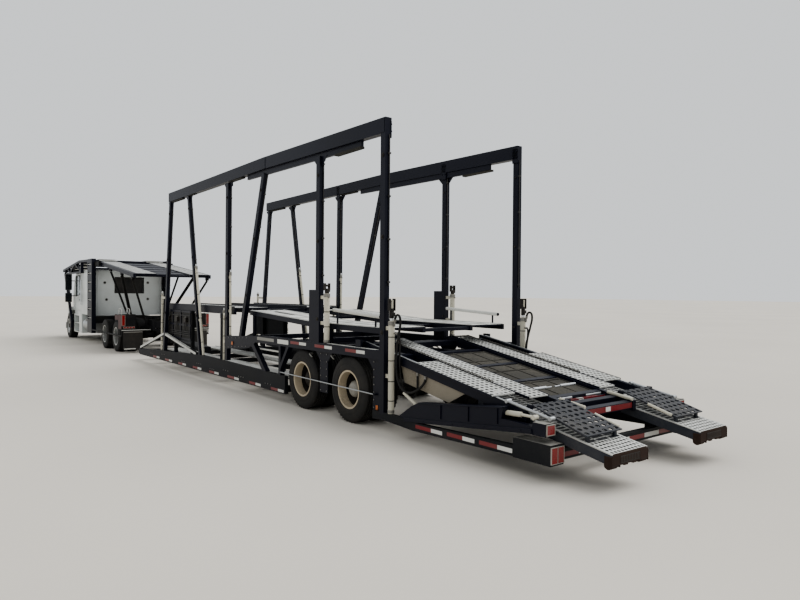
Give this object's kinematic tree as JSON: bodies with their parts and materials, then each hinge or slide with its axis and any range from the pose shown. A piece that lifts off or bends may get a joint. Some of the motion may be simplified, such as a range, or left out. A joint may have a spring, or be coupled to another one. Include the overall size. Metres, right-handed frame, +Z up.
{
  "type": "car transporter truck",
  "caption": "Car hauler: sleeper tractor with head rack and tilting deck, pulling a stinger-hitched open trailer with lifting decks, a sloping rear deck, slide-out ramps and folding flippers.",
  "frame": {"origin": "on the ground, under the middle of the whole rig's length and width", "axes": "+X towards the front of the tractor, +Y to the vehicle's left, +Z up"},
  "size_m": [24.8, 2.96, 4.12],
  "materials": {
    "white_paint": "gloss",
    "navy_paint": "gloss",
    "slate_paint": "semi-gloss",
    "pale_deck": "satin",
    "ramp_paint": "satin",
    "cylinder_paint": "semi-gloss",
    "wheel": "matte",
    "chassis": "matte",
    "bare_steel": "satin",
    "chrome_trim": "polished",
    "window_glass": "clear",
    "cab_plastic": "matte",
    "seat_cloth": "matte",
    "flap_rubber": "matte",
    "red_lens": "gloss",
    "clear_lens": "gloss"
  },
  "bodies": {
    "tractor": {"tractor_frame": "chassis", "front_axle": "chassis", "drive_axles": "chassis", "engine": "chassis", "cab_shell": "white_paint", "sleeper_shell": "white_paint", "cab_glass": "window_glass", "dashboard": "cab_plastic", "steering_wheel": "cab_plastic", "seats": "seat_cloth", "bumper": "chrome_trim", "mirrors": "cab_plastic", "fuel_tanks": "bare_steel", "cab_steps": "white_paint", "rear_brackets": "chassis", "mud_flaps": "flap_rubber", "tractor_tail_lamps": "red_lens", "rack_frame": "navy_paint", "rack_runways": "pale_deck", "deck_struts": "chassis"},
    "trailer": {"trailer_low_frame": "slate_paint", "belly_runways": "pale_deck", "trailer_mid_frame": "navy_paint", "trailer_axles": "chassis", "trailer_posts": "navy_paint", "top_rails": "navy_paint", "rear_frame": "slate_paint", "side_booms": "navy_paint", "tail_lamps": "red_lens", "lift_cylinders": "cylinder_paint"},
    "hood": {"hood": "white_paint", "grille": "chrome_trim", "headlamps": "clear_lens"},
    "door_left": {"door_left": "white_paint", "door_glass_left": "window_glass"},
    "door_right": {"door_right": "white_paint", "door_glass_right": "window_glass"},
    "knuckle_left": {"knuckle_left": "chassis"},
    "knuckle_right": {"knuckle_right": "chassis"},
    "tractor_deck": {"tractor_deck": "navy_paint"},
    "front_deck": {"front_deck": "navy_paint"},
    "mid_deck": {"mid_deck": "navy_paint"},
    "rear_deck": {"rear_deck": "navy_paint", "rear_gratings": "pale_deck"},
    "ramp_left": {"ramp_left": "ramp_paint"},
    "ramp_right": {"ramp_right": "ramp_paint"},
    "flipper_left": {"flipper_left": "ramp_paint"},
    "flipper_right": {"flipper_right": "ramp_paint"},
    "wheel_trailer_1_left": {"wheel_trailer_1_left": "wheel"},
    "wheel_trailer_1_right": {"wheel_trailer_1_right": "wheel"},
    "wheel_trailer_2_left": {"wheel_trailer_2_left": "wheel"},
    "wheel_trailer_2_right": {"wheel_trailer_2_right": "wheel"},
    "wheel_drive_1_left": {"wheel_drive_1_left": "wheel"},
    "wheel_drive_1_right": {"wheel_drive_1_right": "wheel"},
    "wheel_drive_2_left": {"wheel_drive_2_left": "wheel"},
    "wheel_drive_2_right": {"wheel_drive_2_right": "wheel"},
    "wheel_steer_left": {"wheel_steer_left": "wheel"},
    "wheel_steer_right": {"wheel_steer_right": "wheel"}
  },
  "joints": [
    {"name": "articulation", "type": "hinge", "parent": "tractor", "child": "trailer", "pos_m": [2.7, 0, 0.38], "axis": [0, 0, 1], "range_deg": [-50, 50]},
    {"name": "steer_left", "type": "hinge", "parent": "tractor", "child": "knuckle_left", "pos_m": [11.42, 0.85, 0.455], "axis": [0, 0, 1], "range_deg": [-33, 33]},
    {"name": "steer_right", "type": "hinge", "parent": "tractor", "child": "knuckle_right", "pos_m": [11.42, -0.85, 0.455], "axis": [0, 0, 1], "range_deg": [-33, 33]},
    {"name": "spin_trailer_1_left", "type": "hinge", "parent": "trailer", "child": "wheel_trailer_1_left", "pos_m": [-7.01, 1, 0.46], "axis": [0, 1, 0], "continuous": true},
    {"name": "spin_trailer_1_right", "type": "hinge", "parent": "trailer", "child": "wheel_trailer_1_right", "pos_m": [-7.01, -1, 0.46], "axis": [0, 1, 0], "continuous": true},
    {"name": "spin_trailer_2_left", "type": "hinge", "parent": "trailer", "child": "wheel_trailer_2_left", "pos_m": [-8.32, 1, 0.46], "axis": [0, 1, 0], "continuous": true},
    {"name": "spin_trailer_2_right", "type": "hinge", "parent": "trailer", "child": "wheel_trailer_2_right", "pos_m": [-8.32, -1, 0.46], "axis": [0, 1, 0], "continuous": true},
    {"name": "spin_drive_1_left", "type": "hinge", "parent": "tractor", "child": "wheel_drive_1_left", "pos_m": [5.77, 1, 0.455], "axis": [0, 1, 0], "continuous": true},
    {"name": "spin_drive_1_right", "type": "hinge", "parent": "tractor", "child": "wheel_drive_1_right", "pos_m": [5.77, -1, 0.455], "axis": [0, 1, 0], "continuous": true},
    {"name": "spin_drive_2_left", "type": "hinge", "parent": "tractor", "child": "wheel_drive_2_left", "pos_m": [4.4, 1, 0.455], "axis": [0, 1, 0], "continuous": true},
    {"name": "spin_drive_2_right", "type": "hinge", "parent": "tractor", "child": "wheel_drive_2_right", "pos_m": [4.4, -1, 0.455], "axis": [0, 1, 0], "continuous": true},
    {"name": "spin_steer_left", "type": "hinge", "parent": "knuckle_left", "child": "wheel_steer_left", "pos_m": [11.42, 1, 0.455], "axis": [0, 1, 0], "continuous": true},
    {"name": "spin_steer_right", "type": "hinge", "parent": "knuckle_right", "child": "wheel_steer_right", "pos_m": [11.42, -1, 0.455], "axis": [0, 1, 0], "continuous": true},
    {"name": "door_left_swing", "type": "hinge", "parent": "tractor", "child": "door_left", "pos_m": [10.59, 1.162, 1.7], "axis": [0, 0, -1], "range_deg": [0, 70]},
    {"name": "door_right_swing", "type": "hinge", "parent": "tractor", "child": "door_right", "pos_m": [10.59, -1.162, 1.7], "axis": [0, 0, 1], "range_deg": [0, 70]},
    {"name": "hood_tilt", "type": "hinge", "parent": "tractor", "child": "hood", "pos_m": [11.98, 0, 0.62], "axis": [0, 1, 0], "range_deg": [0, 30]},
    {"name": "tractor_deck_tilt", "type": "hinge", "parent": "tractor", "child": "tractor_deck", "pos_m": [6.75, 0, 2.7], "axis": [0, 1, 0], "range_deg": [0, 8]},
    {"name": "front_deck_lift", "type": "slide", "parent": "trailer", "child": "front_deck", "axis": [0, 0, 1], "range_m": [0, 0.9]},
    {"name": "mid_deck_lift", "type": "slide", "parent": "trailer", "child": "mid_deck", "axis": [0, 0, 1], "range_m": [0, 0.8]},
    {"name": "rear_deck_tilt", "type": "hinge", "parent": "trailer", "child": "rear_deck", "pos_m": [-8.55, 0, 1.11], "axis": [0, 1, 0], "range_deg": [0, 12]},
    {"name": "ramp_left_slide", "type": "slide", "parent": "rear_deck", "child": "ramp_left", "axis": [-0.9833, 0, -0.1819], "range_m": [0, 0.5]},
    {"name": "flipper_left_fold", "type": "hinge", "parent": "rear_deck", "child": "flipper_left", "pos_m": [-11.465, 0.8, 0.668], "axis": [0, 1, 0], "range_deg": [0, 110]},
    {"name": "ramp_right_slide", "type": "slide", "parent": "rear_deck", "child": "ramp_right", "axis": [-0.9833, 0, -0.1819], "range_m": [0, 0.5]},
    {"name": "flipper_right_fold", "type": "hinge", "parent": "rear_deck", "child": "flipper_right", "pos_m": [-11.465, -0.8, 0.668], "axis": [0, 1, 0], "range_deg": [0, 110]}
  ],
  "couplings": [
    {"joint": "steer_right", "follows": "steer_left", "ratio": 1}
  ]
}
